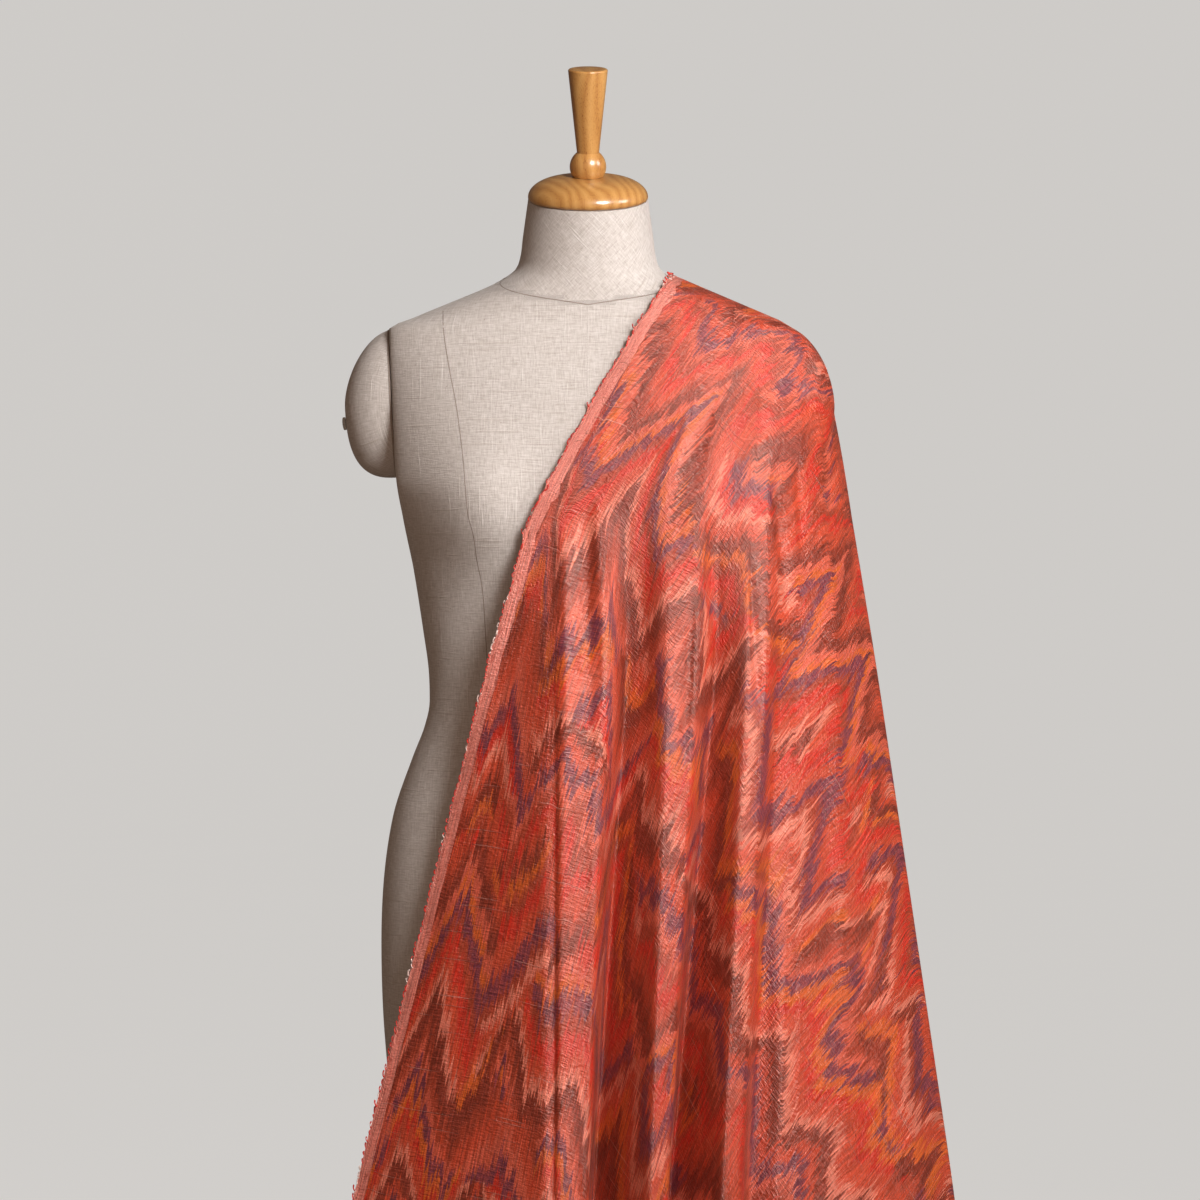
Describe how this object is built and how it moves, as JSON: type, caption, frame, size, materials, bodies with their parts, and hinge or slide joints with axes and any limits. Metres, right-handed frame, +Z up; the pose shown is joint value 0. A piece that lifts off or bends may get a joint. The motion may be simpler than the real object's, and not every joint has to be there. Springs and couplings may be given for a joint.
{
  "type": "ikat fabric draped on a dress form",
  "caption": "Length of raw-silk zigzag ikat hung over one shoulder of a linen dress form with a turned wooden cap, on a round-footed stand.",
  "frame": {"origin": "middle of the stand's foot, on the floor", "axes": "+Z up, -Y the way the form faces, +X to the form's left, where the cloth hangs"},
  "size_m": [0.5734, 0.5801, 1.6805],
  "materials": {
    "silk": "raw silk with a soft sheen",
    "linen": "coarse woven linen",
    "wood": "varnished",
    "metal": "satin"
  },
  "bodies": {
    "root": {"ikat_cloth": "silk", "torso": "linen", "arm_cap_right": "linen", "arm_cap_left": "linen", "arm_stud": "metal", "neck_cap": "wood", "finial": "wood", "pole": "wood", "base": "wood"}
  },
  "joints": []
}
